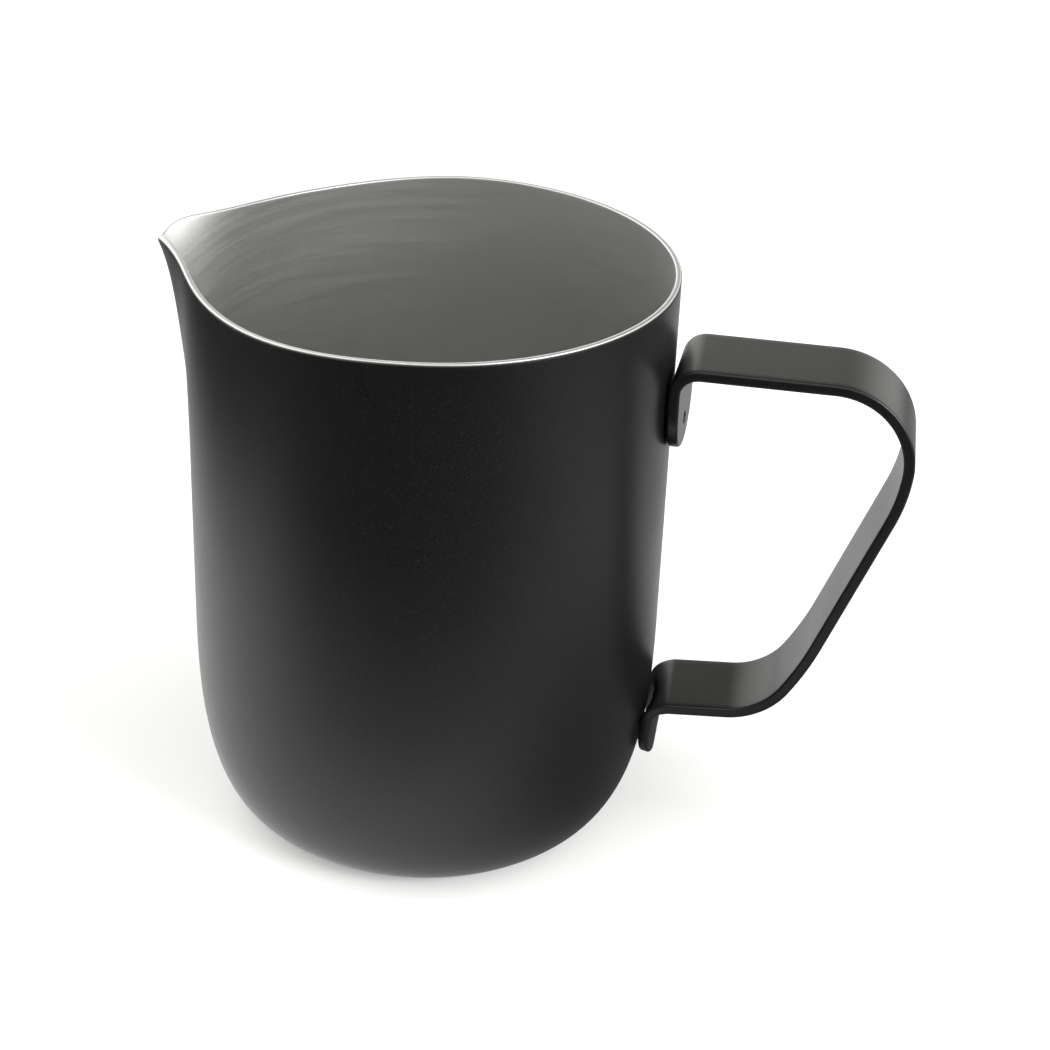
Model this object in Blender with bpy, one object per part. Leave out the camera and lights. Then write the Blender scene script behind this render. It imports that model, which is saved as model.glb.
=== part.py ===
"""Milk frothing pitcher: drawn steel cup with a pressed spout, black coat and a welded strip handle.

Frame: metres, +Z up. The origin is the centre of the flat base, the handle points to +X and the spout
to -X. Both halves are alike about the plane Y = 0, except that the upper tab sits slightly askew.
"""
import math

import bmesh
import bpy
from mathutils import Matrix, Vector

MM = 0.001
SMOOTH_BELOW = math.radians(35)  # facets that meet at a smaller angle are shaded as one surface

# Cup, measured on the finished (coated) outside
BODY_RADIUS = 45.0 * MM
RIM_HEIGHT = 113.8 * MM
BASE_RADIUS = 28.2 * MM          # flat disc that the cup stands on
CURVE_HEIGHT = 44.0 * MM         # where the rounded bottom meets the straight wall
CURVE_POWER = 2.8                # superellipse power of the rounded bottom
STEEL_THICKNESS = 1.0 * MM
COAT_THICKNESS = 0.12 * MM
COAT_GAP = 0.03 * MM             # between the coat and the steel it covers
BARE_BAND = 0.4 * MM             # the coat stops this far below the rim
AROUND = 80                      # corners around the cup
SPOUT_CROWDING = 0.45            # how much closer together they are at the spout
BOTTOM_ROWS = 11                 # rows of facets up the rounded bottom
WALL_ROWS = tuple(h * MM for h in (60, 76, 81, 87, 93, 99, 104, 108, 111))  # heights of rows up the wall

# Spout, pressed out of the wall
SPOUT_FOOT = 78.0 * MM           # height where the ridge leaves the wall
SPOUT_RIDGE = 4.6 * MM           # reach of the ridge at the rim, without its flare
SPOUT_FLARE = 2.0 * MM           # extra reach of the flared lip
SPOUT_RIDGE_POWER = 0.8          # how the ridge grows from the foot to the rim
SPOUT_FLARE_POWER = 7            # the flare comes in close to the rim only
SPOUT_FOOT_BLEND = 0.06          # rounding where the ridge starts, as a share of its height
SPOUT_WIDTH = math.radians(10.9)
SPOUT_WIDTH_AT_FOOT = 0.6        # narrower towards the foot
WING_DEPTH = 0.4 * MM            # wall drawn in on both sides of the spout
WING_SPAN = math.radians(84)
LIP_RISE = 1.6 * MM
LIP_RISE_SPAN = math.radians(20)
TIP_DROOP = 1.8 * MM
TIP_DROOP_SPAN = math.radians(4.5)
RIM_DIP = 1.0 * MM
RIM_DIP_FROM = math.radians(8)
RIM_DIP_TO = math.radians(98)
RIM_LIFT_POWER = 3               # how the rim's rise and fall die away down the wall

# Handle strip; bend radii are those of its middle surface
STRIP_WIDTH = 17.6 * MM
STRIP_THICKNESS = 2.1 * MM
STRIP_EDGE = 0.5 * MM            # rounding of the strip's long edges
UPPER_CLEARANCE = 0.25 * MM      # between the wall and the middle of the tab's back
LOWER_CLEARANCE = 0.8 * MM
UPPER_TAB_END = 82.2 * MM        # height of the upper tab's lowest point
UPPER_TAB_SPLAY = math.radians(0.5)
UPPER_BEND = 3.9 * MM
ARM_HEIGHT = 99.75 * MM          # of the upper arm's middle, ARM_AT from the axis
ARM_AT = 60.0 * MM
ARM_FALL = math.radians(0.35)
OUTER_BEND = 14.6 * MM
OUTER_BEND_SHARE = 0.85          # the rest of the turn into the grip is gentler
OUTER_EASE = 35.0 * MM
OUTER_REACH = 89.95 * MM         # the handle's farthest point from the cup's axis
GRIP_LEAN = math.radians(21.0)   # the grip's lean from the vertical
LOWER_EASE = 60.0 * MM           # gentle start of the turn out of the grip
LOWER_BEND = 13.7 * MM
LOWER_BEND_SHARE = 0.83
LOWER_ARM_RISE = math.radians(3.8)  # upwards, away from the cup
LOWER_ARM_HEIGHT = 29.2 * MM     # of the strip's middle, LOWER_ARM_AT from the axis
LOWER_ARM_AT = 55.0 * MM
LOWER_TAB_BEND = 3.0 * MM
LOWER_TAB_LEAN = math.radians(5.5)  # following the wall, which draws in below
LOWER_TAB_END = 14.6 * MM
UPPER_TAB_TURN = math.radians(-3.7)  # about the vertical, as the tab sits slightly askew on the wall
LOWER_TAB_BOW = 26.0 * MM        # radius of the lower tab's back, bent across so that its edges meet the wall
UPPER_FADE = (12.0 * MM, 19.5 * MM)  # from the tab's end: where its turn begins to die away, where it is gone
LOWER_FADE = (10.5 * MM, 15.0 * MM)  # the same for the lower tab's bow
FACE_STRIPS = 6                  # facets across each wide face of the strip
EDGE_FACETS = 2                  # facets round each of its four long edges
TAB_BEND_PIECES = 8              # straight pieces that each bend is made of
OUTER_BEND_PIECES = 10
OUTER_EASE_PIECES = 3
LOWER_EASE_PIECES = 2
LOWER_BEND_PIECES = 7
TAB_END_ARC = tuple(math.radians(a) for a in (8, 20, 34, 48, 62, 76, 90))  # corners of half a tab's round end
TANGENT_SAMPLES = 400

# Plug welds, one through each tab
WELD_HOLE_RADIUS = 1.2 * MM
WELD_RADIUS = 0.9 * MM
WELD_RECESS = 0.7 * MM           # below the tab's outer face
WELD_DOME = 0.25 * MM
WELD_FROM_WALL = 0.1 * MM        # the weld's foot stops this far from the coated wall
WELD_FROM_END = 5.2 * MM         # from the tab's end to the weld's centre
WELD_CORNERS = 16
HOLE_CORNERS = 20


def clear_scene():
    for item in list(bpy.data.objects):
        bpy.data.objects.remove(item, do_unlink=True)


def material(name, color, metallic, roughness):
    made = bpy.data.materials.new(name)
    made.use_nodes = True
    shader = made.node_tree.nodes["Principled BSDF"]
    shader.inputs["Base Color"].default_value = (*color, 1.0)
    shader.inputs["Metallic"].default_value = metallic
    shader.inputs["Roughness"].default_value = roughness
    return made


def object_from_bmesh(name, bm, finish):
    bmesh.ops.recalc_face_normals(bm, faces=bm.faces)
    mesh = bpy.data.meshes.new(name)
    bm.to_mesh(mesh)
    bm.free()
    mesh.shade_smooth()
    mesh.set_sharp_from_angle(angle=SMOOTH_BELOW)
    mesh.materials.append(finish)
    made = bpy.data.objects.new(name, mesh)
    bpy.context.scene.collection.objects.link(made)
    return made


# ---------------------------------------------------------------- cup surface

def rounded_ramp(value, blend):
    """0 below zero and value above it, with the corner rounded over +-blend."""
    if value <= -blend:
        return 0.0
    if value >= blend:
        return value
    return (value + blend) ** 2 / (4 * blend)


def profile(step):
    """Radius and height of the round cup: 0..1 is the rounded bottom, 1..2 the straight wall."""
    if step <= 1:
        angle = step * math.pi / 2
        run = math.sin(angle) ** (2 / CURVE_POWER)
        rise = 1 - max(math.cos(angle), 0.0) ** (2 / CURVE_POWER)
        return BASE_RADIUS + (BODY_RADIUS - BASE_RADIUS) * run, CURVE_HEIGHT * rise
    return BODY_RADIUS, CURVE_HEIGHT + (step - 1) * (RIM_HEIGHT - CURVE_HEIGHT)


def wall_step(height):
    return 1 + (height - CURVE_HEIGHT) / (RIM_HEIGHT - CURVE_HEIGHT)


def spout_offset(turn, share):
    """How far the pressing moves the wall outwards; share is 0 at the spout's foot and 1 at the rim."""
    risen = max(share, 0.0)
    ridge = SPOUT_RIDGE * rounded_ramp(share, SPOUT_FOOT_BLEND) ** SPOUT_RIDGE_POWER
    ridge += SPOUT_FLARE * risen ** SPOUT_FLARE_POWER
    width = SPOUT_WIDTH * (SPOUT_WIDTH_AT_FOOT + (1 - SPOUT_WIDTH_AT_FOOT) * risen)
    beak = ridge / math.cosh(turn / width) ** 2
    wing = 0.0
    if abs(turn) < WING_SPAN:
        wing = WING_DEPTH * math.sin(math.pi * turn / WING_SPAN) ** 2 * risen ** 2
    return beak - wing


def rim_lift(turn):
    """How far the pressing raises or lowers the rim."""
    away = abs(turn)
    lift = LIP_RISE * math.exp(-(away / LIP_RISE_SPAN) ** 2)
    lift -= TIP_DROOP * math.exp(-(away / TIP_DROOP_SPAN) ** 2)
    if RIM_DIP_FROM < away < RIM_DIP_TO:
        lift -= RIM_DIP * math.sin(math.pi * (away - RIM_DIP_FROM) / (RIM_DIP_TO - RIM_DIP_FROM)) ** 2
    return lift


def cup_point(turn, step):
    """A point on the finished outside; turn is the angle from the spout."""
    radius, height = profile(step)
    share = (height - SPOUT_FOOT) / (RIM_HEIGHT - SPOUT_FOOT)
    radius += spout_offset(turn, share)
    height += rim_lift(turn) * max(share, 0.0) ** RIM_LIFT_POWER
    return Vector((-radius * math.cos(turn), radius * math.sin(turn), height))


def cup_normal(turn, step):
    if step == 0:
        return Vector((0, 0, -1))
    reach = 1e-3
    along = cup_point(turn + reach, step) - cup_point(turn - reach, step)
    up = cup_point(turn, min(step + reach, 2)) - cup_point(turn, step - min(reach, step))
    outward = up.cross(along)
    outward.normalize()
    return outward if outward.dot(cup_point(turn, step) - Vector((0, 0, CURVE_HEIGHT))) > 0 else -outward


def cup_turns():
    """Angles around the cup, closer together at the spout."""
    even = [2 * math.pi * i / AROUND - math.pi for i in range(AROUND)]
    return [angle - SPOUT_CROWDING * math.sin(angle) for angle in even]


def cup_steps():
    """Rows from the flat base up to the rim; the last but one is the coat's top edge."""
    bottom = [i / BOTTOM_ROWS for i in range(BOTTOM_ROWS + 1)]
    wall = [wall_step(height) for height in WALL_ROWS]
    return bottom + wall + [wall_step(RIM_HEIGHT - BARE_BAND), 2.0]


def cup_shell(name, outer_inset, inner_inset, steps, finish):
    """A thin cup between two inward offsets of the finished outside, open at the top."""
    bm = bmesh.new()
    turns = cup_turns()

    def surface(inset):
        rows = []
        for step in steps:
            points = [cup_point(turn, step) - inset * cup_normal(turn, step) for turn in turns]
            rows.append([bm.verts.new(point) for point in points])
        for lower, upper in zip(rows, rows[1:]):
            for i in range(AROUND):
                after = (i + 1) % AROUND
                bm.faces.new((lower[i], lower[after], upper[after], upper[i]))
        bm.faces.new(rows[0])
        return rows[-1]

    outer_rim = surface(outer_inset)
    inner_rim = surface(inner_inset)
    for i in range(AROUND):
        after = (i + 1) % AROUND
        bm.faces.new((outer_rim[i], outer_rim[after], inner_rim[after], inner_rim[i]))
    return object_from_bmesh(name, bm, finish)


# ---------------------------------------------------------------- handle strip

class StripPath:
    """The strip's middle line in the plane Y = 0, as stations of (point, heading)."""

    def __init__(self, start, heading):
        self.point = Vector(start)
        self.heading = heading
        self.stations = [(self.point.copy(), heading)]

    def straight(self, length):
        self.point = self.point + heading_vector(self.heading) * length
        self.stations.append((self.point.copy(), self.heading))

    def bend(self, turn, radius, pieces):
        side = math.copysign(1, turn)
        centre = self.point + side * radius * Vector((-math.sin(self.heading), math.cos(self.heading)))
        start = self.heading
        for i in range(1, pieces + 1):
            self.heading = start + turn * i / pieces
            outward = Vector((math.sin(self.heading), -math.cos(self.heading)))
            self.point = centre + side * radius * outward
            self.stations.append((self.point.copy(), self.heading))


def wall_radius_at(height):
    """Finished outside radius of the round cup at a height within its rounded bottom."""
    drop = 1 - height / CURVE_HEIGHT
    return BASE_RADIUS + (BODY_RADIUS - BASE_RADIUS) * (1 - drop ** CURVE_POWER) ** (1 / CURVE_POWER)


def tangent_foot(lean):
    """Radius at which a line touching the rounded bottom at this lean from the vertical meets Z = 0."""
    heights = [CURVE_HEIGHT * i / TANGENT_SAMPLES for i in range(TANGENT_SAMPLES + 1)]
    return max(wall_radius_at(height) - height * math.tan(lean) for height in heights)


def heading_vector(heading):
    return Vector((math.cos(heading), math.sin(heading)))


def crossing(point_a, heading_a, point_b, heading_b):
    """Where two lines in the plane meet."""
    a = heading_vector(heading_a)
    b = heading_vector(heading_b)
    gap = Vector(point_b) - Vector(point_a)
    share = (gap.x * b.y - gap.y * b.x) / (a.x * b.y - a.y * b.x)
    return Vector(point_a) + a * share


def run_to_meet(path, turns, line):
    """Length of the straight run after which a series of bends comes out on a line."""
    trial = StripPath(path.point, path.heading)
    for turn, radius in turns:
        trial.bend(turn, radius, 1)
    point, heading = line
    normal = Vector((-math.sin(heading), math.cos(heading)))
    ahead = heading_vector(path.heading)
    return (Vector(point) - trial.point).dot(normal) / ahead.dot(normal)


def handle_path():
    """Upper tab's end, up the wall, out, round the grip, in along the lower arm and down the lower tab."""
    half = STRIP_THICKNESS / 2
    tab_heading = math.pi / 2 + UPPER_TAB_SPLAY
    tab_top = (BODY_RADIUS + UPPER_CLEARANCE + half, ARM_HEIGHT - UPPER_BEND)
    start = crossing(tab_top, tab_heading, (0.0, UPPER_TAB_END), 0.0)
    arm = ((ARM_AT, ARM_HEIGHT), -ARM_FALL)
    lower_arm = ((LOWER_ARM_AT, LOWER_ARM_HEIGHT), math.pi + LOWER_ARM_RISE)
    off_wall = (LOWER_CLEARANCE + half) / math.cos(LOWER_TAB_LEAN)
    lower_tab = ((tangent_foot(LOWER_TAB_LEAN) + off_wall, 0.0), -math.pi / 2 - LOWER_TAB_LEAN)

    path = StripPath(start, tab_heading)
    into_arm = -(tab_heading + ARM_FALL)
    path.straight(STRIP_WIDTH / 2)
    path.straight(UPPER_FADE[0] - STRIP_WIDTH / 2)
    path.straight(run_to_meet(path, [(into_arm, UPPER_BEND)], arm))
    path.bend(into_arm, UPPER_BEND, TAB_BEND_PIECES)

    outer_turn = -(math.pi / 2 + GRIP_LEAN - ARM_FALL)
    farthest = OUTER_REACH - half - OUTER_BEND * (1 - math.sin(ARM_FALL))
    path.straight((farthest - path.point.x) / math.cos(ARM_FALL))
    path.bend(outer_turn * OUTER_BEND_SHARE, OUTER_BEND, OUTER_BEND_PIECES)
    path.bend(outer_turn * (1 - OUTER_BEND_SHARE), OUTER_EASE, OUTER_EASE_PIECES)

    lower_turn = -(math.pi / 2 - GRIP_LEAN - LOWER_ARM_RISE)
    ease = (lower_turn * (1 - LOWER_BEND_SHARE), LOWER_EASE)
    bend = (lower_turn * LOWER_BEND_SHARE, LOWER_BEND)
    path.straight(run_to_meet(path, [ease, bend], lower_arm))
    path.bend(*ease, LOWER_EASE_PIECES)
    path.bend(*bend, LOWER_BEND_PIECES)

    into_tab = math.pi / 2 - LOWER_TAB_LEAN - LOWER_ARM_RISE
    path.straight(run_to_meet(path, [(into_tab, LOWER_TAB_BEND)], lower_tab))
    path.bend(into_tab, LOWER_TAB_BEND, TAB_BEND_PIECES)
    path.straight((path.point.y - LOWER_TAB_END) / math.cos(LOWER_TAB_LEAN) - STRIP_WIDTH / 2)
    path.straight(STRIP_WIDTH / 2)
    return path.stations


def tab_shape(run, length):
    """Bow (1 / radius across the strip, towards its normal) and turn of the section at a distance along it."""
    upper = run < length / 2
    from_end, (full, none) = (run, UPPER_FADE) if upper else (length - run, LOWER_FADE)
    fade = min(max((from_end - full) / (none - full), 0.0), 1.0)
    share = 1 - fade * fade * (3 - 2 * fade)
    if upper:
        return 0.0, share * UPPER_TAB_TURN
    return -share / (LOWER_TAB_BOW + STRIP_THICKNESS / 2), 0.0


def strip_sections():
    """Sections as (point, heading, half width, bow, turn); both tabs end in a half circle as wide as the strip."""
    stations = handle_path()
    half = STRIP_WIDTH / 2
    runs = [0.0]
    for (first, _), (second, _) in zip(stations, stations[1:]):
        runs.append(runs[-1] + (second - first).length)
    length = runs[-1]
    ends = [(half * (1 - math.cos(a)), half * math.sin(a)) for a in TAB_END_ARC]
    first_point, first_heading = stations[0]
    last_point, last_heading = stations[-1]
    inward = heading_vector(first_heading)
    outward = -heading_vector(last_heading)
    head = [(first_point + inward * run, first_heading, width, *tab_shape(run, length)) for run, width in ends]
    tail = [(last_point + outward * run, last_heading, width, *tab_shape(length - run, length)) for run, width in ends]
    body = [(*station, half, *tab_shape(run, length)) for station, run in zip(stations[2:-2], runs[2:-2])]
    return head + body + tail[::-1]


def strip_section(point, heading, half_width, bow, turn):
    """Outline of the strip's cross-section: a rectangle with rounded corners, bent by bow and turned."""
    normal = Vector((-math.sin(heading), 0, math.cos(heading)))
    centre = Vector((point.x, 0, point.y))
    across = half_width - STRIP_EDGE
    through = STRIP_THICKNESS / 2 - STRIP_EDGE
    flat = []
    for quarter, (right, up) in enumerate([(1, 1), (-1, 1), (-1, -1), (1, -1)]):
        for i in range(EDGE_FACETS + 1):
            angle = math.pi / 2 * (quarter + i / EDGE_FACETS)
            flat.append((right * across + STRIP_EDGE * math.cos(angle), up * through + STRIP_EDGE * math.sin(angle)))
        if quarter in (0, 2):
            for i in range(1, FACE_STRIPS):
                flat.append((right * across * (1 - 2 * i / FACE_STRIPS), up * STRIP_THICKNESS / 2))
    outline = []
    for side, depth in flat:
        if bow:
            radius = 1 / bow - depth
            side, depth = radius * math.sin(side * bow), 1 / bow - radius * math.cos(side * bow)
        across_world = side * math.cos(turn) - depth * math.sin(turn)
        along_normal = side * math.sin(turn) + depth * math.cos(turn)
        outline.append(centre + Vector((0, across_world, 0)) + normal * along_normal)
    return outline


def handle_strip(finish):
    bm = bmesh.new()
    rings = []
    for section in strip_sections():
        rings.append([bm.verts.new(corner) for corner in strip_section(*section)])
    count = len(rings[0])
    for ring, following in zip(rings, rings[1:]):
        for i in range(count):
            after = (i + 1) % count
            bm.faces.new((ring[i], ring[after], following[after], following[i]))
    bm.faces.new(rings[0])
    bm.faces.new(rings[-1])
    return object_from_bmesh("handle_strip", bm, finish)


# ---------------------------------------------------------------- welds

def weld_places():
    """Centre on the tab's middle plane, outward normal and reach towards the wall of each plug weld."""
    stations = handle_path()
    first_point, first_heading = stations[0]
    last_point, last_heading = stations[-1]
    upper = first_point + heading_vector(first_heading) * WELD_FROM_END
    lower = last_point - heading_vector(last_heading) * WELD_FROM_END
    upper_normal = Vector((math.sin(first_heading), 0, -math.cos(first_heading)))
    upper_normal.rotate(Matrix.Rotation(UPPER_TAB_TURN, 3, "Z"))
    lower_normal = Vector((-math.sin(last_heading), 0, math.cos(last_heading)))
    return {
        "upper_weld": (upper, upper_normal, UPPER_CLEARANCE - WELD_FROM_WALL),
        "lower_weld": (lower, lower_normal, LOWER_CLEARANCE - WELD_FROM_WALL),
    }


def facing(normal, point):
    """Places a shape made along +Z so that it points along normal at a point of the plane Y = 0."""
    turn = normal.to_track_quat("Z", "Y").to_matrix().to_4x4()
    return Matrix.Translation((point.x, 0, point.y)) @ turn


def weld_cutter(name, point, normal):
    bm = bmesh.new()
    bmesh.ops.create_cone(
        bm,
        cap_ends=True,
        segments=HOLE_CORNERS,
        radius1=WELD_HOLE_RADIUS,
        radius2=WELD_HOLE_RADIUS,
        depth=3 * STRIP_THICKNESS,
        matrix=facing(normal, point),
    )
    cutter = object_from_bmesh(name, bm, None)
    cutter.hide_render = True
    cutter.display_type = "WIRE"
    return cutter


def weld_plug(name, point, normal, foot, finish):
    """A stub of weld metal with a domed top, standing in the tab's hole on the wall behind it."""
    top = STRIP_THICKNESS / 2 - WELD_RECESS
    rings = [
        (WELD_RADIUS, -STRIP_THICKNESS / 2 - foot),
        (WELD_RADIUS, top - WELD_DOME),
        (0.75 * WELD_RADIUS, top - 0.35 * WELD_DOME),
        (0.35 * WELD_RADIUS, top),
    ]
    bm = bmesh.new()
    place = facing(normal, point)
    rows = []
    for radius, height in rings:
        corners = []
        for i in range(WELD_CORNERS):
            angle = 2 * math.pi * i / WELD_CORNERS
            corner = Vector((radius * math.cos(angle), radius * math.sin(angle), height))
            corners.append(bm.verts.new(place @ corner))
        rows.append(corners)
    for lower, upper in zip(rows, rows[1:]):
        for i in range(WELD_CORNERS):
            after = (i + 1) % WELD_CORNERS
            bm.faces.new((lower[i], lower[after], upper[after], upper[i]))
    bm.faces.new(rows[0])
    bm.faces.new(rows[-1])
    return object_from_bmesh(name, bm, finish)


def main():
    clear_scene()
    steel = material("bare_steel", (0.55, 0.56, 0.57), 1.0, 0.32)
    film = material("black_coat_film", (0.022, 0.022, 0.024), 0.0, 0.45)
    coated = material("black_coated_steel", (0.022, 0.022, 0.022), 0.0, 0.42)
    weld_metal = material("coated_weld", (0.018, 0.018, 0.016), 0.0, 0.6)

    steps = cup_steps()
    under_coat = COAT_THICKNESS + COAT_GAP
    cup_shell("body_shell", under_coat, under_coat + STEEL_THICKNESS, steps, steel)
    cup_shell("body_coating", 0.0, COAT_THICKNESS, steps[:-1], film)
    handle = handle_strip(coated)
    for name, (point, normal, foot) in weld_places().items():
        cutter = weld_cutter(name + "_hole", point, normal)
        cut = handle.modifiers.new(name + "_hole", "BOOLEAN")
        cut.operation = "DIFFERENCE"
        cut.object = cutter
        weld_plug(name, point, normal, foot, weld_metal)


main()
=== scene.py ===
"""Milk frothing pitcher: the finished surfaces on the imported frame, in a plain white studio.

The cup, its coat, the handle strip and the welds are built again here with fine meshes from the same
dimensions as the frame's nodes, and stand for them. Metres, +Z up, handle to +X, spout to -X.
"""

import math

import bmesh
import bpy
import numpy as np
from mathutils import Matrix, Vector

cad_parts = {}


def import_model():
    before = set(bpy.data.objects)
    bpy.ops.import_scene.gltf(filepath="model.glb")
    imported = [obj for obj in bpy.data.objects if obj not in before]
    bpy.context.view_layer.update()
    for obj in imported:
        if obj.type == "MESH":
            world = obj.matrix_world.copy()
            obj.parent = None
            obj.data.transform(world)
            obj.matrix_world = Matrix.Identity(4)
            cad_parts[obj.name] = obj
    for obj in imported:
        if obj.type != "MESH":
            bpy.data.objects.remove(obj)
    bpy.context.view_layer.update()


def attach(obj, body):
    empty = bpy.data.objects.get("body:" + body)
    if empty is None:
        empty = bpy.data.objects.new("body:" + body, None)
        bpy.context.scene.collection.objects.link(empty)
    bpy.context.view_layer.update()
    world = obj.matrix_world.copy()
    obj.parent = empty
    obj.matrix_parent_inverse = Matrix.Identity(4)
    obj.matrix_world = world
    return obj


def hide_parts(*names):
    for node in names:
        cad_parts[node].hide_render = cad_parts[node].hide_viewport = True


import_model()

MM = 0.001

# Cup, measured on the finished (coated) outside
BODY_RADIUS = 45.0 * MM
RIM_HEIGHT = 113.8 * MM
BASE_RADIUS = 28.2 * MM          # flat disc that the cup stands on
CURVE_HEIGHT = 44.0 * MM         # where the rounded bottom meets the straight wall
CURVE_POWER = 2.8                # superellipse power of the rounded bottom
STEEL_THICKNESS = 1.0 * MM
COAT_THICKNESS = 0.12 * MM
COAT_GAP = 0.03 * MM             # between the coat and the steel it covers
BARE_BAND = 0.4 * MM             # the coat stops this far below the rim
RIM_ROUNDING = 0.36 * MM
RIM_FULLNESS = 0.72              # below 1 the rim's rounding is fuller than an ellipse
COAT_INSET = 0.015 * MM          # the coat's surface lies this far inside the frame's

# Spout, pressed out of the wall
SPOUT_FOOT = 78.0 * MM
SPOUT_RIDGE = 4.6 * MM
SPOUT_FLARE = 2.0 * MM
SPOUT_RIDGE_POWER = 0.8
SPOUT_FLARE_POWER = 7
SPOUT_FOOT_BLEND = 0.06
SPOUT_WIDTH = math.radians(10.9)
SPOUT_WIDTH_AT_FOOT = 0.6
WING_DEPTH = 0.4 * MM
WING_SPAN = math.radians(84)
LIP_RISE = 1.6 * MM
LIP_RISE_SPAN = math.radians(20)
TIP_DROOP = 1.8 * MM
TIP_DROOP_SPAN = math.radians(4.5)
RIM_DIP = 1.0 * MM
RIM_DIP_FROM = math.radians(8)
RIM_DIP_TO = math.radians(98)
RIM_LIFT_POWER = 3

# Handle strip; bend radii are those of its middle surface
STRIP_WIDTH = 17.6 * MM
STRIP_THICKNESS = 2.1 * MM
STRIP_EDGE = 0.5 * MM
UPPER_CLEARANCE = 0.25 * MM
LOWER_CLEARANCE = 0.8 * MM
UPPER_TAB_END = 82.2 * MM
UPPER_TAB_SPLAY = math.radians(0.5)
UPPER_TAB_TURN = math.radians(-3.7)
UPPER_BEND = 3.9 * MM
ARM_HEIGHT = 99.75 * MM
ARM_AT = 60.0 * MM
ARM_FALL = math.radians(0.35)
OUTER_BEND = 14.6 * MM
OUTER_BEND_SHARE = 0.85
OUTER_EASE = 35.0 * MM
OUTER_REACH = 89.89 * MM         # just inside the frame's strip, whose bend is faceted
GRIP_LEAN = math.radians(21.0)
LOWER_EASE = 60.0 * MM
LOWER_BEND = 13.7 * MM
LOWER_BEND_SHARE = 0.83
LOWER_ARM_RISE = math.radians(3.8)
LOWER_ARM_HEIGHT = 29.2 * MM
LOWER_ARM_AT = 55.0 * MM
LOWER_TAB_BEND = 3.0 * MM
LOWER_TAB_LEAN = math.radians(5.5)
LOWER_TAB_END = 14.6 * MM
LOWER_TAB_BOW = 25.0 * MM
UPPER_FADE = (12.0 * MM, 19.5 * MM)
LOWER_FADE = (10.5 * MM, 15.0 * MM)
TANGENT_SAMPLES = 400

# Plug welds
WELD_HOLE_RADIUS = 1.2 * MM
WELD_HOLE_MOUTH = 0.3 * MM       # rounding of the hole's mouth
WELD_RADIUS = 0.9 * MM
WELD_RECESS = 0.7 * MM
WELD_FROM_WALL = 0.1 * MM
WELD_FROM_END = 5.2 * MM
WELD_DOME = 0.25 * MM
WELD_CRATER = 0.07 * MM
WELD_CRATER_SPREAD = 0.28        # as a share of the weld's radius
WELD_RIPPLE = 0.012 * MM
WELD_RIPPLES = 22                # radians of ripple from the middle to the edge

# Fineness of the meshes
AROUND = 320                     # corners around the cup
SPOUT_CROWDING = 0.55            # how much closer together they are at the spout
SEEN_BOTTOM_ROWS = 48
PLAIN_WALL_ROWS = 9
PRESSED_WALL_ROWS = 63
PRESSED_FROM = SPOUT_FOOT - 4 * MM
HIDDEN_BOTTOM_ROWS = 24          # surfaces between the steel and its coat
HIDDEN_WALL_ROWS = 49
RIM_PIECES = 12
COAT_EDGE_PIECES = 4
UPPER_TAB_PIECES = 10            # pieces along the strip's straights and round its bends
ARM_PIECES = 12
GRIP_PIECES = 12
LOWER_ARM_PIECES = 8
LOWER_TAB_PIECES = 4
TAB_BEND_PIECES = 24
OUTER_BEND_PIECES = 48
OUTER_EASE_PIECES = 10
LOWER_EASE_PIECES = 8
LOWER_BEND_PIECES = 36
STRIP_EDGE_PIECES = 7
TAB_END_PIECES = 20
FACE_STRIPS = 14                 # strips of facets across each wide face
HOLE_CORNERS = 48
HOLE_MOUTH_PIECES = 6
WELD_CORNERS = 40
WELD_RINGS = 12
SHARP_EDGE = math.radians(35)    # facets that meet at a smaller angle are shaded as one surface
SHARP_WELD_EDGE = math.radians(50)
SHARP_STRIP_EDGE = math.radians(30)

# Finishes: how many of each mark fit in a metre, roughly
COAT_FLECKS = 5200
COAT_GRAIN = 2600
COAT_ORANGE_PEEL = 780
COAT_PATCHES = 34
STEEL_SMEARS = 55
BRUSH_LINES = (26.0, 5200.0)     # around the cup and along its wall
BRUSH_BANDS = (60.0, 900.0)

# Pool of light on the floor, as the coat mirrors it; pairs say where a change begins and ends
POOL_LEVELS = (1.28, 0.6)        # on the spout's side and on the handle's side
POOL_FALL = (-60 * MM, 200 * MM)
POOL_SPOUT_EDGE = (-245 * MM, -115 * MM)
POOL_HANDLE_EDGE = (200 * MM, 310 * MM)
POOL_FRONT_EDGE = (-162 * MM, -46 * MM)
HANDLE_SHADE_AT = (80 * MM, -5 * MM)
HANDLE_SHADE_LEVEL = 0.15
HANDLE_SHADE_EDGE = (30 * MM, 100 * MM)
POOL_CARD_HALF = 0.8
POOL_CARD_DEPTH = 1.0 * MM       # below the floor

# Room, key light and camera
FLOOR_HALF = 6.0
FLOOR_GLOW = 0.3
ROOM_LEVELS = (2.0, 1.4)         # towards the spout's side and elsewhere
ROOM_TINT = (1.0, 0.995, 0.96)
DIM_PATCH = (0.150, 0.622, 0.769)  # direction of a dim patch, high on the far side
DIM_PATCH_EDGE = (math.radians(36), math.radians(22))
KEY_PLACE = (0.69, -0.40, 0.42)
KEY_TARGET = (0.0, 0.0, 0.09)
KEY_SIZE = 0.35
KEY_POWER = 5.0
CAMERA_PLACE = (70.77 * MM, -380.60 * MM, 272.70 * MM)
CAMERA_HEADING = math.radians(7.80)
CAMERA_TILT = math.radians(61.17)
CAMERA_ROLL = math.radians(2.37)
CAMERA_LENS = 78.65
CAMERA_SENSOR = 36.0


# ---------------------------------------------------------------- node helpers

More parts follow.
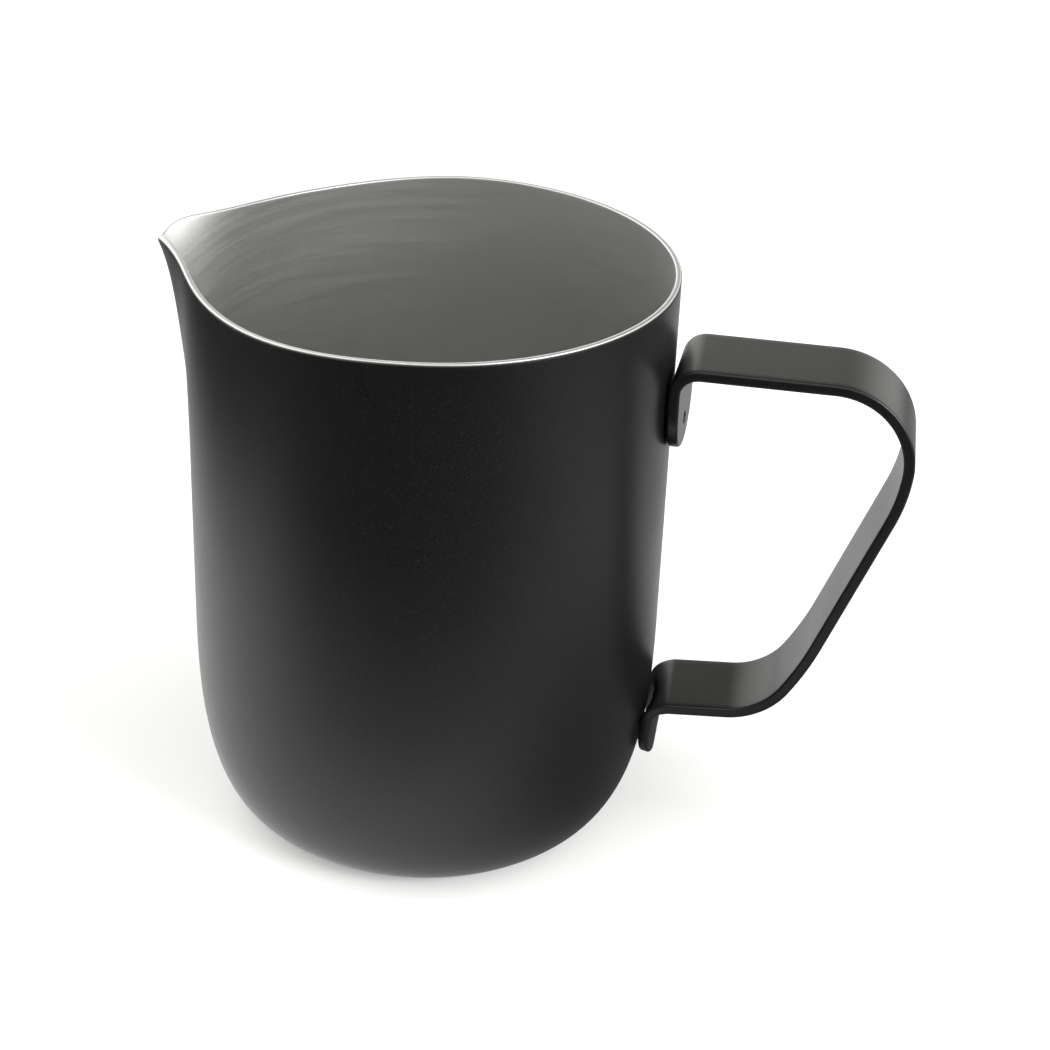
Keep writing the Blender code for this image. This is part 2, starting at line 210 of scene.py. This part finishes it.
class Tree:
    """A small builder for a node tree."""

    def __init__(self, tree):
        self.tree = tree

    def add(self, kind, **settings):
        node = self.tree.nodes.new(kind)
        for key, value in settings.items():
            setattr(node, key, value)
        return node

    def feed(self, socket, value):
        if isinstance(value, bpy.types.NodeSocket):
            self.tree.links.new(value, socket)
        else:
            socket.default_value = value

    def math(self, operation, *values):
        node = self.add("ShaderNodeMath", operation=operation)
        for socket, value in zip(node.inputs, values):
            self.feed(socket, value)
        return node.outputs[0]

    def product(self, first, *others):
        for other in others:
            first = self.math("MULTIPLY", first, other)
        return first

    def distance(self, first, second):
        """Length of a plane vector from its two components."""
        return self.math("SQRT", self.math("ADD", self.product(first, first), self.product(second, second)))

    def axes(self, vector):
        node = self.add("ShaderNodeSeparateXYZ")
        self.feed(node.inputs[0], vector)
        return node.outputs

    def dot(self, vector, fixed):
        node = self.add("ShaderNodeVectorMath", operation="DOT_PRODUCT")
        self.feed(node.inputs[0], vector)
        node.inputs[1].default_value = fixed
        return node.outputs["Value"]

    def span(self, value, low, high, to_low, to_high, kind="LINEAR"):
        """Carries low..high over to to_low..to_high and holds the ends."""
        node = self.add("ShaderNodeMapRange", interpolation_type=kind)
        for socket, item in zip(node.inputs, (value, low, high, to_low, to_high)):
            self.feed(socket, item)
        return node.outputs["Result"]

    def smooth(self, value, edge, levels):
        return self.span(value, *edge, *levels, kind="SMOOTHSTEP")

    def noise(self, vector, scale, detail=2.0, roughness=0.5):
        node = self.add("ShaderNodeTexNoise")
        self.feed(node.inputs["Vector"], vector)
        node.inputs["Scale"].default_value = scale
        node.inputs["Detail"].default_value = detail
        node.inputs["Roughness"].default_value = roughness
        return node.outputs["Fac"]

    def mix(self, share, first, second):
        node = self.add("ShaderNodeMix", data_type="RGBA")
        self.feed(node.inputs["Factor"], share)
        self.feed(node.inputs["A"], first)
        self.feed(node.inputs["B"], second)
        return node.outputs["Result"]

    def bump(self, height, distance, strength, below=None):
        node = self.add("ShaderNodeBump")
        node.inputs["Strength"].default_value = strength
        node.inputs["Distance"].default_value = distance
        self.feed(node.inputs["Height"], height)
        if below is not None:
            self.feed(node.inputs["Normal"], below)
        return node.outputs["Normal"]


class Nodes(Tree):
    """A material with a Principled shader and object coordinates."""

    def __init__(self, name):
        self.material = bpy.data.materials.new(name)
        self.material.use_nodes = True
        super().__init__(self.material.node_tree)
        self.shader = self.tree.nodes["Principled BSDF"]
        self.place = self.add("ShaderNodeTexCoord").outputs["Object"]

    def set(self, **sockets):
        """Feeds the shader's inputs; an underscore in a name stands for a space."""
        for name, value in sockets.items():
            self.feed(self.shader.inputs[name.replace("_", " ")], value)


def gray(level, tint=(1.0, 1.0, 1.0)):
    return (level * tint[0], level * tint[1], level * tint[2], 1.0)


# ---------------------------------------------------------------- finishes

def black_coat(name, level, roughness):
    """Satin black baked coat: fine orange peel, tiny light flecks and slow changes of gloss."""
    n = Nodes(name)
    flecks = n.noise(n.place, COAT_FLECKS, 1.0)
    patches = n.noise(n.place, COAT_PATCHES, 3.0)
    grain = n.noise(n.place, COAT_GRAIN)
    peel = n.noise(n.place, COAT_ORANGE_PEEL, 2.0, 0.45)

    cool = gray(level * 0.86, (1.0, 1.0, 1.06))
    warm = gray(level * 1.12, (1.04, 1.0, 0.95))
    fleck_share = n.span(flecks, 0.66, 0.74, 0.0, 0.55)
    n.set(Base_Color=n.mix(fleck_share, n.mix(patches, cool, warm), gray(level * 9)))

    slow = n.span(patches, 0.3, 0.7, roughness - 0.025, roughness + 0.025)
    n.set(Roughness=n.math("ADD", slow, n.span(grain, 0.35, 0.65, -0.02, 0.02)))
    n.set(Specular_IOR_Level=0.5)
    n.set(Normal=n.bump(grain, 0.006 * MM, 0.6, n.bump(peel, 0.02 * MM, 0.55)))
    return n.material


def brush_noise(n, scales, detail, roughness=0.5):
    """Noise drawn out around the cup: its wall's run is the radius and the height together."""
    x, y, z = n.axes(n.place)
    run = n.math("ADD", n.distance(x, y), z)
    around, along = scales
    stretched = n.add("ShaderNodeCombineXYZ")
    for socket, value, scale in zip(stretched.inputs, (x, y, run), (around, around, along)):
        n.feed(socket, n.math("MULTIPLY", value, scale))
    return n.noise(stretched.outputs[0], 1.0, detail, roughness)


def brushed_steel(name):
    """Bare stainless steel with fine circumferential brushing and a few soft smears."""
    n = Nodes(name)
    fine = brush_noise(n, BRUSH_LINES, 3.0, 0.6)
    bands = brush_noise(n, BRUSH_BANDS, 2.0)
    smears = n.noise(n.place, STEEL_SMEARS, 3.0, 0.6)

    color = n.mix(fine, gray(0.66), gray(0.74, (1.0, 1.0, 0.99)))
    n.set(Base_Color=n.mix(n.span(smears, 0.35, 0.7, 0.0, 0.12), color, gray(0.6, (0.98, 1.0, 1.03))))
    dull = n.span(fine, 0.3, 0.7, 0.42, 0.50)
    n.set(Roughness=n.math("ADD", dull, n.span(bands, 0.3, 0.7, -0.02, 0.03)))
    n.set(Metallic=1.0, Anisotropic=0.5)
    n.set(Tangent=n.add("ShaderNodeTangent", direction_type="RADIAL", axis="Z").outputs[0])
    n.set(Normal=n.bump(fine, 0.004 * MM, 0.5))
    return n.material


# ---------------------------------------------------------------- mesh helpers

def mesh_object(name, points, faces, finish=None, sharp=SHARP_EDGE):
    """An object from points and faces, shaded smooth up to the sharp angle."""
    mesh = bpy.data.meshes.new(name)
    mesh.from_pydata([tuple(p) for p in points], [], faces)
    made = bpy.data.objects.new(name, mesh)
    bpy.context.scene.collection.objects.link(made)
    if finish is not None:
        mesh.materials.append(finish)
    bm = bmesh.new()
    bm.from_mesh(mesh)
    bmesh.ops.remove_doubles(bm, verts=bm.verts, dist=1e-7)
    bmesh.ops.recalc_face_normals(bm, faces=bm.faces)
    bm.to_mesh(mesh)
    bm.free()
    mesh.shade_smooth()
    mesh.set_sharp_from_angle(angle=sharp)
    return made


def card(name, half, height, finish):
    """A level square around the origin."""
    corners = [(-half, -half, height), (half, -half, height), (half, half, height), (-half, half, height)]
    return mesh_object(name, corners, [(0, 1, 2, 3)], finish)


def loft(rows, capped=True):
    """Points and faces through rings of equal length, with both ends closed if capped."""
    points = np.concatenate(rows)
    count = len(rows[0])
    faces = []
    for lower in range(len(rows) - 1):
        upper = lower + 1
        for i in range(count):
            after = (i + 1) % count
            faces.append((lower * count + i, lower * count + after,
                          upper * count + after, upper * count + i))
    if capped:
        faces.append(tuple(range(count)))
        faces.append(tuple(range((len(rows) - 1) * count, len(rows) * count)))
    return points, faces


def quarter_turn(pieces):
    """Angles from 0 to a right angle."""
    return [math.pi / 2 * i / pieces for i in range(pieces + 1)]


# ---------------------------------------------------------------- cup

def rounded_ramp(value, blend):
    """0 below zero and value above it, with the corner rounded over +-blend."""
    if value <= -blend:
        return 0.0
    if value >= blend:
        return value
    return (value + blend) ** 2 / (4 * blend)


def profile(step):
    """Radius and height of the round cup: 0..1 is the rounded bottom, 1..2 the straight wall."""
    if step <= 1:
        angle = step * math.pi / 2
        run = math.sin(angle) ** (2 / CURVE_POWER)
        rise = 1 - max(math.cos(angle), 0.0) ** (2 / CURVE_POWER)
        return BASE_RADIUS + (BODY_RADIUS - BASE_RADIUS) * run, CURVE_HEIGHT * rise
    return BODY_RADIUS, CURVE_HEIGHT + (step - 1) * (RIM_HEIGHT - CURVE_HEIGHT)


def wall_step(height):
    return 1 + (height - CURVE_HEIGHT) / (RIM_HEIGHT - CURVE_HEIGHT)


def spout_offset(turns, share):
    """How far the pressing moves the wall outwards; share is 0 at the spout's foot and 1 at the rim."""
    risen = max(share, 0.0)
    ridge = SPOUT_RIDGE * rounded_ramp(share, SPOUT_FOOT_BLEND) ** SPOUT_RIDGE_POWER
    ridge += SPOUT_FLARE * risen ** SPOUT_FLARE_POWER
    width = SPOUT_WIDTH * (SPOUT_WIDTH_AT_FOOT + (1 - SPOUT_WIDTH_AT_FOOT) * risen)
    beak = ridge / np.cosh(turns / width) ** 2
    wing = WING_DEPTH * np.sin(np.pi * turns / WING_SPAN) ** 2 * risen ** 2
    return beak - np.where(np.abs(turns) < WING_SPAN, wing, 0.0)


def rim_lift(turns):
    """How far the pressing raises or lowers the rim."""
    away = np.abs(turns)
    lip = LIP_RISE * np.exp(-((away / LIP_RISE_SPAN) ** 2))
    droop = TIP_DROOP * np.exp(-((away / TIP_DROOP_SPAN) ** 2))
    dip = RIM_DIP * np.sin(np.pi * (away - RIM_DIP_FROM) / (RIM_DIP_TO - RIM_DIP_FROM)) ** 2
    return lip - droop - np.where((away > RIM_DIP_FROM) & (away < RIM_DIP_TO), dip, 0.0)


def cup_row(turns, step):
    """Points of the finished outside at one step, for an array of angles from the spout."""
    radius, height = profile(step)
    share = (height - SPOUT_FOOT) / (RIM_HEIGHT - SPOUT_FOOT)
    reach = radius + spout_offset(turns, share)
    raised = height + rim_lift(turns) * max(share, 0.0) ** RIM_LIFT_POWER
    return np.stack([-reach * np.cos(turns), reach * np.sin(turns), raised], axis=1)


def cup_frame(turns, step):
    """Points, outward normals and upward directions along the wall at one step."""
    small = 1e-4
    points = cup_row(turns, step)
    along = cup_row(turns + small, step) - cup_row(turns - small, step)
    up = cup_row(turns, min(step + small, 2.0)) - cup_row(turns, max(step - small, 0.0))
    up /= np.linalg.norm(up, axis=1)[:, None]
    normal = np.cross(up, along)
    normal /= np.linalg.norm(normal, axis=1)[:, None]
    outward = np.stack([-np.cos(turns), np.sin(turns), np.full_like(turns, -0.5)], axis=1)
    normal *= np.sign((normal * outward).sum(1))[:, None]
    if step == 0:
        normal = np.tile([0.0, 0.0, -1.0], (len(turns), 1))
    return points, normal, up


def cup_turns():
    """Angles around the cup, closer together at the spout."""
    even = np.arange(AROUND) * 2 * np.pi / AROUND - np.pi
    return even - SPOUT_CROWDING * np.sin(even)


def disc_rows(row, shares):
    """Rings inside a flat ring, shrinking towards its centre."""
    centre = row.mean(0)
    return [centre + (row - centre) * share for share in shares]


def surface_rows(turns, inset, steps):
    """Rings of the surface that lies inset within the finished outside."""
    rows = []
    for step in steps:
        points, normal, _ = cup_frame(turns, step)
        rows.append(points - inset * normal)
    return rows


def wall_rows(bottom, top, count):
    """Steps of count rows up the wall, above the one at bottom."""
    return [wall_step(height) for height in np.linspace(bottom, top, count + 1)[1:]]


def seen_steps(top):
    """Steps for a surface that is seen: finest where the spout is pressed."""
    rounded = [i / SEEN_BOTTOM_ROWS for i in range(SEEN_BOTTOM_ROWS + 1)]
    plain = wall_rows(CURVE_HEIGHT, PRESSED_FROM, PLAIN_WALL_ROWS)
    return rounded + plain + wall_rows(PRESSED_FROM, top, PRESSED_WALL_ROWS)


def hidden_steps(top):
    """Steps for a surface between the steel and its coat."""
    rounded = [i / HIDDEN_BOTTOM_ROWS for i in range(HIDDEN_BOTTOM_ROWS + 1)]
    return rounded + wall_rows(CURVE_HEIGHT, top, HIDDEN_WALL_ROWS)


def steel_cup(finish):
    """The drawn cup: outside under the coat, rounded rim, and the bare inside."""
    turns = cup_turns()
    outer = COAT_THICKNESS + COAT_GAP
    inner = outer + STEEL_THICKNESS
    middle = (outer + inner) / 2
    shoulder = RIM_HEIGHT - RIM_ROUNDING
    out_rows = surface_rows(turns, outer, hidden_steps(shoulder))
    in_rows = surface_rows(turns, inner, seen_steps(shoulder))
    points, normal, up = cup_frame(turns, wall_step(shoulder))
    rim = []
    for i in range(1, RIM_PIECES):
        angle = math.pi * i / RIM_PIECES
        side = math.cos(angle)
        across = math.copysign(abs(side) ** RIM_FULLNESS, side) * STEEL_THICKNESS / 2
        rise = math.sin(angle) ** RIM_FULLNESS * RIM_ROUNDING
        rim.append(points - middle * normal + across * normal + rise * up)
    inside_floor = disc_rows(in_rows[0], [0.93, 0.8, 0.6, 0.4, 0.2, 0.02])
    underside = disc_rows(out_rows[0], [0.02, 0.5, 0.9])
    rows = underside + out_rows + rim + in_rows[::-1] + inside_floor
    return mesh_object("cup_steel", *loft(rows), finish)


def coat_edge(turns):
    """How far the coat's edge lies above its mean height: masked by hand, so it wanders a little."""
    wander = 0.5 * np.sin(5 * turns + 0.7) + 0.3 * np.sin(11 * turns + 2.1) + 0.2 * np.sin(23 * turns + 4.0)
    return 0.02 * MM * wander


def cup_coat(finish):
    """The black film on the cup's outside, ending in a soft edge below the rim."""
    turns = cup_turns()
    top = RIM_HEIGHT - BARE_BAND - COAT_THICKNESS / 2
    rows = surface_rows(turns, COAT_INSET, seen_steps(top))
    points, normal, up = cup_frame(turns, wall_step(top))
    wander = coat_edge(turns)[:, None] * up
    rows[-1] = rows[-1] + wander
    edge = []
    for angle in quarter_turn(COAT_EDGE_PIECES)[1:]:
        depth = COAT_INSET + (COAT_THICKNESS - COAT_INSET) * (1 - math.cos(angle))
        rise = COAT_THICKNESS / 2 * math.sin(angle)
        edge.append(points - depth * normal + rise * up + wander)
    back = surface_rows(turns, COAT_THICKNESS, hidden_steps(top))
    base = disc_rows(rows[0], [0.02, 0.3, 0.6, 0.85])
    base_back = disc_rows(back[0], [0.5, 0.02])
    return mesh_object("cup_coat", *loft(base + rows + edge + back[::-1] + base_back), finish)


# ---------------------------------------------------------------- handle

def heading_vector(heading):
    return Vector((math.cos(heading), math.sin(heading)))


class StripPath:
    """The strip's middle line in the plane Y = 0, as stations of (point, heading)."""

    def __init__(self, start, heading):
        self.point = Vector(start)
        self.heading = heading
        self.stations = [(self.point.copy(), heading)]

    def straight(self, length, pieces=1):
        start = self.point.copy()
        for i in range(1, pieces + 1):
            self.point = start + heading_vector(self.heading) * length * i / pieces
            self.stations.append((self.point.copy(), self.heading))

    def bend(self, turn, radius, pieces):
        side = math.copysign(1, turn)
        centre = self.point + side * radius * Vector((-math.sin(self.heading), math.cos(self.heading)))
        start = self.heading
        for i in range(1, pieces + 1):
            self.heading = start + turn * i / pieces
            outward = Vector((math.sin(self.heading), -math.cos(self.heading)))
            self.point = centre + side * radius * outward
            self.stations.append((self.point.copy(), self.heading))


def crossing(point_a, heading_a, point_b, heading_b):
    """Where two lines in the plane meet."""
    a = heading_vector(heading_a)
    b = heading_vector(heading_b)
    gap = Vector(point_b) - Vector(point_a)
    share = (gap.x * b.y - gap.y * b.x) / (a.x * b.y - a.y * b.x)
    return Vector(point_a) + a * share


def run_to_meet(path, turns, line):
    """Length of the straight run after which a series of bends comes out on a line."""
    trial = StripPath(path.point, path.heading)
    for turn, radius in turns:
        trial.bend(turn, radius, 1)
    point, heading = line
    normal = Vector((-math.sin(heading), math.cos(heading)))
    ahead = heading_vector(path.heading)
    return (Vector(point) - trial.point).dot(normal) / ahead.dot(normal)


def wall_radius_at(height):
    """Finished outside radius of the round cup at a height within its rounded bottom."""
    drop = 1 - height / CURVE_HEIGHT
    return BASE_RADIUS + (BODY_RADIUS - BASE_RADIUS) * (1 - drop ** CURVE_POWER) ** (1 / CURVE_POWER)


def tangent_foot(lean):
    """Radius at which a line touching the rounded bottom at this lean from the vertical meets Z = 0."""
    heights = [CURVE_HEIGHT * i / TANGENT_SAMPLES for i in range(TANGENT_SAMPLES + 1)]
    return max(wall_radius_at(height) - height * math.tan(lean) for height in heights)


def handle_path():
    """Upper tab's end, up the wall, out, round the grip, in along the lower arm, down the lower tab."""
    half = STRIP_THICKNESS / 2
    tab_heading = math.pi / 2 + UPPER_TAB_SPLAY
    tab_top = (BODY_RADIUS + UPPER_CLEARANCE + half, ARM_HEIGHT - UPPER_BEND)
    start = crossing(tab_top, tab_heading, (0.0, UPPER_TAB_END), 0.0)
    arm = ((ARM_AT, ARM_HEIGHT), -ARM_FALL)
    lower_arm = ((LOWER_ARM_AT, LOWER_ARM_HEIGHT), math.pi + LOWER_ARM_RISE)
    off_wall = (LOWER_CLEARANCE + half) / math.cos(LOWER_TAB_LEAN)
    lower_tab = ((tangent_foot(LOWER_TAB_LEAN) + off_wall, 0.0), -math.pi / 2 - LOWER_TAB_LEAN)

    path = StripPath(start, tab_heading)
    into_arm = -(tab_heading + ARM_FALL)
    path.straight(STRIP_WIDTH / 2)
    path.straight(run_to_meet(path, [(into_arm, UPPER_BEND)], arm), UPPER_TAB_PIECES)
    path.bend(into_arm, UPPER_BEND, TAB_BEND_PIECES)

    outer_turn = -(math.pi / 2 + GRIP_LEAN - ARM_FALL)
    farthest = OUTER_REACH - half - OUTER_BEND * (1 - math.sin(ARM_FALL))
    path.straight((farthest - path.point.x) / math.cos(ARM_FALL), ARM_PIECES)
    path.bend(outer_turn * OUTER_BEND_SHARE, OUTER_BEND, OUTER_BEND_PIECES)
    path.bend(outer_turn * (1 - OUTER_BEND_SHARE), OUTER_EASE, OUTER_EASE_PIECES)

    lower_turn = -(math.pi / 2 - GRIP_LEAN - LOWER_ARM_RISE)
    ease = (lower_turn * (1 - LOWER_BEND_SHARE), LOWER_EASE)
    bend = (lower_turn * LOWER_BEND_SHARE, LOWER_BEND)
    path.straight(run_to_meet(path, [ease, bend], lower_arm), GRIP_PIECES)
    path.bend(*ease, LOWER_EASE_PIECES)
    path.bend(*bend, LOWER_BEND_PIECES)

    into_tab = math.pi / 2 - LOWER_TAB_LEAN - LOWER_ARM_RISE
    path.straight(run_to_meet(path, [(into_tab, LOWER_TAB_BEND)], lower_tab), LOWER_ARM_PIECES)
    path.bend(into_tab, LOWER_TAB_BEND, TAB_BEND_PIECES)
    to_end = (path.point.y - LOWER_TAB_END) / math.cos(LOWER_TAB_LEAN)
    path.straight(to_end - STRIP_WIDTH / 2, LOWER_TAB_PIECES)
    path.straight(STRIP_WIDTH / 2)
    return path.stations


def tab_shape(run, length):
    """The section's bow (1 / radius, towards its normal) and turn at a distance along the strip."""
    upper = run < length / 2
    from_end, (full, none) = (run, UPPER_FADE) if upper else (length - run, LOWER_FADE)
    fade = min(max((from_end - full) / (none - full), 0.0), 1.0)
    share = 1 - fade * fade * (3 - 2 * fade)
    if upper:
        return 0.0, share * UPPER_TAB_TURN
    return -share / (LOWER_TAB_BOW + STRIP_THICKNESS / 2), 0.0


def strip_layers():
    """Inset from the strip's outline and depth from its middle plane, from one wide face to the other."""
    face = STRIP_THICKNESS / 2
    layers = []
    for angle in quarter_turn(STRIP_EDGE_PIECES):
        layers.append((STRIP_EDGE * (1 - math.sin(angle)), face - STRIP_EDGE * (1 - math.cos(angle))))
    return layers + [(inset, -depth) for inset, depth in layers[::-1]]


def strip_ring(point, heading, bulge, width, bow, turn):
    """One ring round the strip: bulge is how far it reaches ahead and width how wide it is.

    Both are shares of half the strip's width, so that a tab's round end is a series of such rings.
    """
    along = heading_vector(heading)
    ahead = Vector((along.x, 0, along.y))
    normal = Vector((-along.y, 0, along.x))
    centre = Vector((point.x, 0, point.y))

    def spot(inset, depth, across):
        reach = STRIP_WIDTH / 2 - inset
        side = reach * width * across
        if bow:
            radius = 1 / bow - depth
            side, depth = radius * math.sin(side * bow), 1 / bow - radius * math.cos(side * bow)
        sideways = side * math.cos(turn) - depth * math.sin(turn)
        off_face = side * math.sin(turn) + depth * math.cos(turn)
        return tuple(centre + ahead * (reach * bulge) + Vector((0, sideways, 0)) + normal * off_face)

    layers = strip_layers()
    columns = np.linspace(1, -1, FACE_STRIPS + 1)[1:-1]
    ring = [spot(inset, depth, 1) for inset, depth in layers]
    ring += [spot(STRIP_EDGE, -STRIP_THICKNESS / 2, column) for column in columns]
    ring += [spot(inset, depth, -1) for inset, depth in layers[::-1]]
    ring += [spot(STRIP_EDGE, STRIP_THICKNESS / 2, -column) for column in columns]
    return np.array(ring)


def strip_rings():
    """Rings along the whole strip; both tabs end in a half circle as wide as the strip."""
    stations = handle_path()
    half = STRIP_WIDTH / 2
    runs = [0.0]
    for (first, _), (second, _) in zip(stations, stations[1:]):
        runs.append(runs[-1] + (second - first).length)
    length = runs[-1]
    rings = []
    for angle in quarter_turn(TAB_END_PIECES)[::-1]:
        shape = tab_shape(half * (1 - math.sin(angle)), length)
        rings.append(strip_ring(*stations[1], -math.sin(angle), math.cos(angle), *shape))
    for station, run in list(zip(stations, runs))[2:-2]:
        rings.append(strip_ring(*station, 0.0, 1.0, *tab_shape(run, length)))
    for angle in quarter_turn(TAB_END_PIECES):
        shape = tab_shape(length - half * (1 - math.sin(angle)), length)
        rings.append(strip_ring(*stations[-2], math.sin(angle), math.cos(angle), *shape))
    return rings


def weld_places():
    """Centre on the tab's middle plane, outward normal and reach towards the wall of each plug weld."""
    stations = handle_path()
    first_point, first_heading = stations[0]
    last_point, last_heading = stations[-1]
    upper = first_point + heading_vector(first_heading) * WELD_FROM_END
    lower = last_point - heading_vector(last_heading) * WELD_FROM_END
    upper_normal = Vector((math.sin(first_heading), 0, -math.cos(first_heading)))
    upper_normal.rotate(Matrix.Rotation(UPPER_TAB_TURN, 3, "Z"))
    lower_normal = Vector((-math.sin(last_heading), 0, math.cos(last_heading)))
    return {
        "upper": (upper, upper_normal, UPPER_CLEARANCE - WELD_FROM_WALL),
        "lower": (lower, lower_normal, LOWER_CLEARANCE - WELD_FROM_WALL),
    }


def turned(name, outline, point, normal, corners, finish=None):
    """A solid turned about a normal at a point of the plane Y = 0, from (radius, height) pairs."""
    turn = normal.to_track_quat("Z", "Y").to_matrix().to_4x4()
    place = Matrix.Translation((point.x, 0, point.y)) @ turn
    angles = [2 * math.pi * i / corners for i in range(corners)]
    rows = []
    for radius, height in outline:
        ring = [place @ Vector((radius * math.cos(a), radius * math.sin(a), height)) for a in angles]
        rows.append(np.array([tuple(corner) for corner in ring]))
    return mesh_object(name, *loft(rows), finish, SHARP_WELD_EDGE)


def hole_outline():
    """The weld hole's wall with its mouth rounded over, as the coat leaves it."""
    face = STRIP_THICKNESS / 2
    outline = [(WELD_HOLE_RADIUS, -2 * face)]
    for angle in quarter_turn(HOLE_MOUTH_PIECES):
        widening = WELD_HOLE_MOUTH * (1 - math.cos(angle))
        outline.append((WELD_HOLE_RADIUS + widening, face - WELD_HOLE_MOUTH * (1 - math.sin(angle))))
    return outline + [(WELD_HOLE_RADIUS + WELD_HOLE_MOUTH, 2 * face)]


def handle_band(finish):
    """The bent strip with a hole through each tab."""
    band = mesh_object("handle_band", *loft(strip_rings(), capped=False), finish)
    for name, (point, normal, _) in weld_places().items():
        cutter = turned("hole_" + name, hole_outline(), point, normal, HOLE_CORNERS)
        cut = band.modifiers.new(name, "BOOLEAN")
        cut.operation = "DIFFERENCE"
        cut.object = cutter
        bpy.context.view_layer.update()
        shaped = band.evaluated_get(bpy.context.evaluated_depsgraph_get())
        cut_mesh = bpy.data.meshes.new_from_object(shaped)
        band.modifiers.clear()
        band.data = cut_mesh
        bpy.data.objects.remove(cutter, do_unlink=True)
    band.data.name = "handle_band"
    band.data.shade_smooth()
    band.data.set_sharp_from_angle(angle=SHARP_STRIP_EDGE)
    return band


def weld_metal(name, point, normal, reach, finish):
    """The puddle in the hole: a shallow dome with a small crater and ripples."""
    top = STRIP_THICKNESS / 2 - WELD_RECESS
    foot = -STRIP_THICKNESS / 2 - reach
    outline = [(WELD_RADIUS * share, foot) for share in (0.05, 0.5, 1.0)]
    outline.append((WELD_RADIUS, top - WELD_DOME))
    for i in range(1, WELD_RINGS + 1):
        share = 1 - i / WELD_RINGS
        dome = WELD_DOME * share ** 2.4
        crater = WELD_CRATER * math.exp(-((share / WELD_CRATER_SPREAD) ** 2))
        ripple = WELD_RIPPLE * (1 - math.cos(share * WELD_RIPPLES))
        outline.append((max(share, 0.03) * WELD_RADIUS, top - dome - crater - ripple))
    return turned(name, outline, point, normal, WELD_CORNERS, finish)


# ---------------------------------------------------------------- studio

def floor():
    """Pale floor. The coat mirrors floor_glow instead of it."""
    n = Nodes("pale_floor")
    n.set(Base_Color=n.mix(n.noise(n.place, 3.0), gray(0.80), gray(0.84)))
    n.set(Roughness=0.9, Specular_IOR_Level=0.0, Emission_Color=gray(1.0), Emission_Strength=FLOOR_GLOW)
    made = card("floor", FLOOR_HALF, 0.0, n.material)
    made.visible_glossy = False


def floor_glow():
    """The pool of light on the floor as the black coat mirrors it: seen in reflections only."""
    n = Nodes("floor_glow")
    x, y, _ = n.axes(n.place)
    pool = n.product(
        n.smooth(x, POOL_FALL, POOL_LEVELS),
        n.smooth(x, POOL_SPOUT_EDGE, (0.0, 1.0)),
        n.smooth(x, POOL_HANDLE_EDGE, (1.0, 0.0)),
        n.smooth(y, POOL_FRONT_EDGE, (0.0, 1.0)),
    )
    shade_x, shade_y = HANDLE_SHADE_AT
    from_shade = n.distance(n.math("SUBTRACT", x, shade_x), n.math("SUBTRACT", y, shade_y))
    shaded = n.product(pool, n.smooth(from_shade, HANDLE_SHADE_EDGE, (HANDLE_SHADE_LEVEL, 1.0)))
    n.set(Base_Color=gray(0.0), Specular_IOR_Level=0.0, Emission_Color=gray(1.0), Emission_Strength=shaded)
    made = card("floor_glow", POOL_CARD_HALF, -POOL_CARD_DEPTH, n.material)
    for sight in ("visible_camera", "visible_diffuse", "visible_shadow", "visible_transmission"):
        setattr(made, sight, False)


def world():
    """Soft white room, brightest on the spout's side, dim low in front and in a patch on the far side."""
    made = bpy.data.worlds.new("studio")
    bpy.context.scene.world = made
    made.use_nodes = True
    t = Tree(made.node_tree)
    direction = t.add("ShaderNodeTexCoord").outputs["Generated"]
    x, y, z = t.axes(direction)
    room = t.smooth(x, (-1.0, 0.1), ROOM_LEVELS)
    patch_edge = [math.cos(angle) for angle in DIM_PATCH_EDGE]
    patch = t.smooth(t.dot(direction, DIM_PATCH), patch_edge, (1.0, 0.0))
    front = t.math("MAXIMUM", t.smooth(y, (-0.9, 0.0), (0.0, 1.0)), t.smooth(z, (0.1, 1.0), (0.0, 1.0)))
    background = t.tree.nodes["Background"]
    t.feed(background.inputs["Strength"], t.product(room, patch, front))
    background.inputs["Color"].default_value = gray(1.0, ROOM_TINT)


def key_light():
    """A soft square light on the handle's side, in front."""
    light = bpy.data.lights.new("key", "AREA")
    light.shape = "SQUARE"
    light.size = KEY_SIZE
    light.energy = KEY_POWER
    made = bpy.data.objects.new("key", light)
    made.location = KEY_PLACE
    made.rotation_euler = (Vector(KEY_TARGET) - Vector(KEY_PLACE)).to_track_quat("-Z", "Y").to_euler()
    bpy.context.scene.collection.objects.link(made)


def camera():
    """Camera at the photo's viewing angle."""
    data = bpy.data.cameras.new("camera")
    data.sensor_width = CAMERA_SENSOR
    data.lens = CAMERA_LENS
    made = bpy.data.objects.new("camera", data)
    made.location = CAMERA_PLACE
    turns = ((CAMERA_HEADING, "Z"), (CAMERA_TILT, "X"), (CAMERA_ROLL, "Z"))
    heading, tilt, roll = (Matrix.Rotation(angle, 3, axis) for angle, axis in turns)
    made.rotation_euler = (heading @ tilt @ roll).to_euler()
    bpy.context.scene.collection.objects.link(made)
    bpy.context.scene.camera = made


# ---------------------------------------------------------------- the object

cup_black = black_coat("cup_black_coat", level=0.0055, roughness=0.36)
handle_black = black_coat("handle_black_coat", level=0.0055, roughness=0.34)
weld_black = black_coat("weld_black_coat", level=0.005, roughness=0.5)
steel = brushed_steel("brushed_steel")

cup = steel_cup(steel)
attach(cup, "root")
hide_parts("body_shell")

coat = cup_coat(cup_black)
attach(coat, "root")
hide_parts("body_coating")

band = handle_band(handle_black)
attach(band, "root")
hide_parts("handle_strip")

for which, (point, normal, reach) in weld_places().items():
    plug = weld_metal(which + "_weld_metal", point, normal, reach, weld_black)
    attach(plug, "root")
    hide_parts(which + "_weld")

floor()
floor_glow()
world()
key_light()
camera()
bpy.context.scene.view_settings.view_transform = "Standard"
